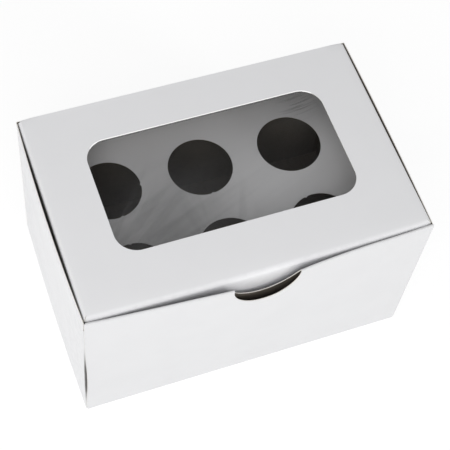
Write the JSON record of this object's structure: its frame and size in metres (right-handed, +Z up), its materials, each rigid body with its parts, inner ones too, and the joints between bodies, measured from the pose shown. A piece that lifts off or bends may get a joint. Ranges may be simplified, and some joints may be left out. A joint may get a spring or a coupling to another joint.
{
  "type": "cone holder box",
  "caption": "White paperboard carton with a windowed fold-down lid and a raised insert with round holes that holds filled cones upright.",
  "frame": {"origin": "middle of the outer box at the underside of the base, on the surface that the carton stands on", "axes": "+Z up, +X along the front wall to the right seen from the front, and the front wall with the finger notch faces -Y"},
  "size_m": [0.229, 0.1558, 0.135],
  "materials": {
    "carton_board": "matte",
    "lid_board": "matte",
    "insert_board": "matte",
    "window_film": "gloss"
  },
  "bodies": {
    "box": {"box_body": "carton_board", "cone_insert": "insert_board"},
    "lid": {"lid": "lid_board", "window_film": "window_film"}
  },
  "joints": [
    {"name": "lid_fold", "type": "hinge", "parent": "box", "child": "lid", "pos_m": [0, 0.0781, 0.13435], "axis": [-1, 0, 0], "range_deg": [0, 180]}
  ]
}
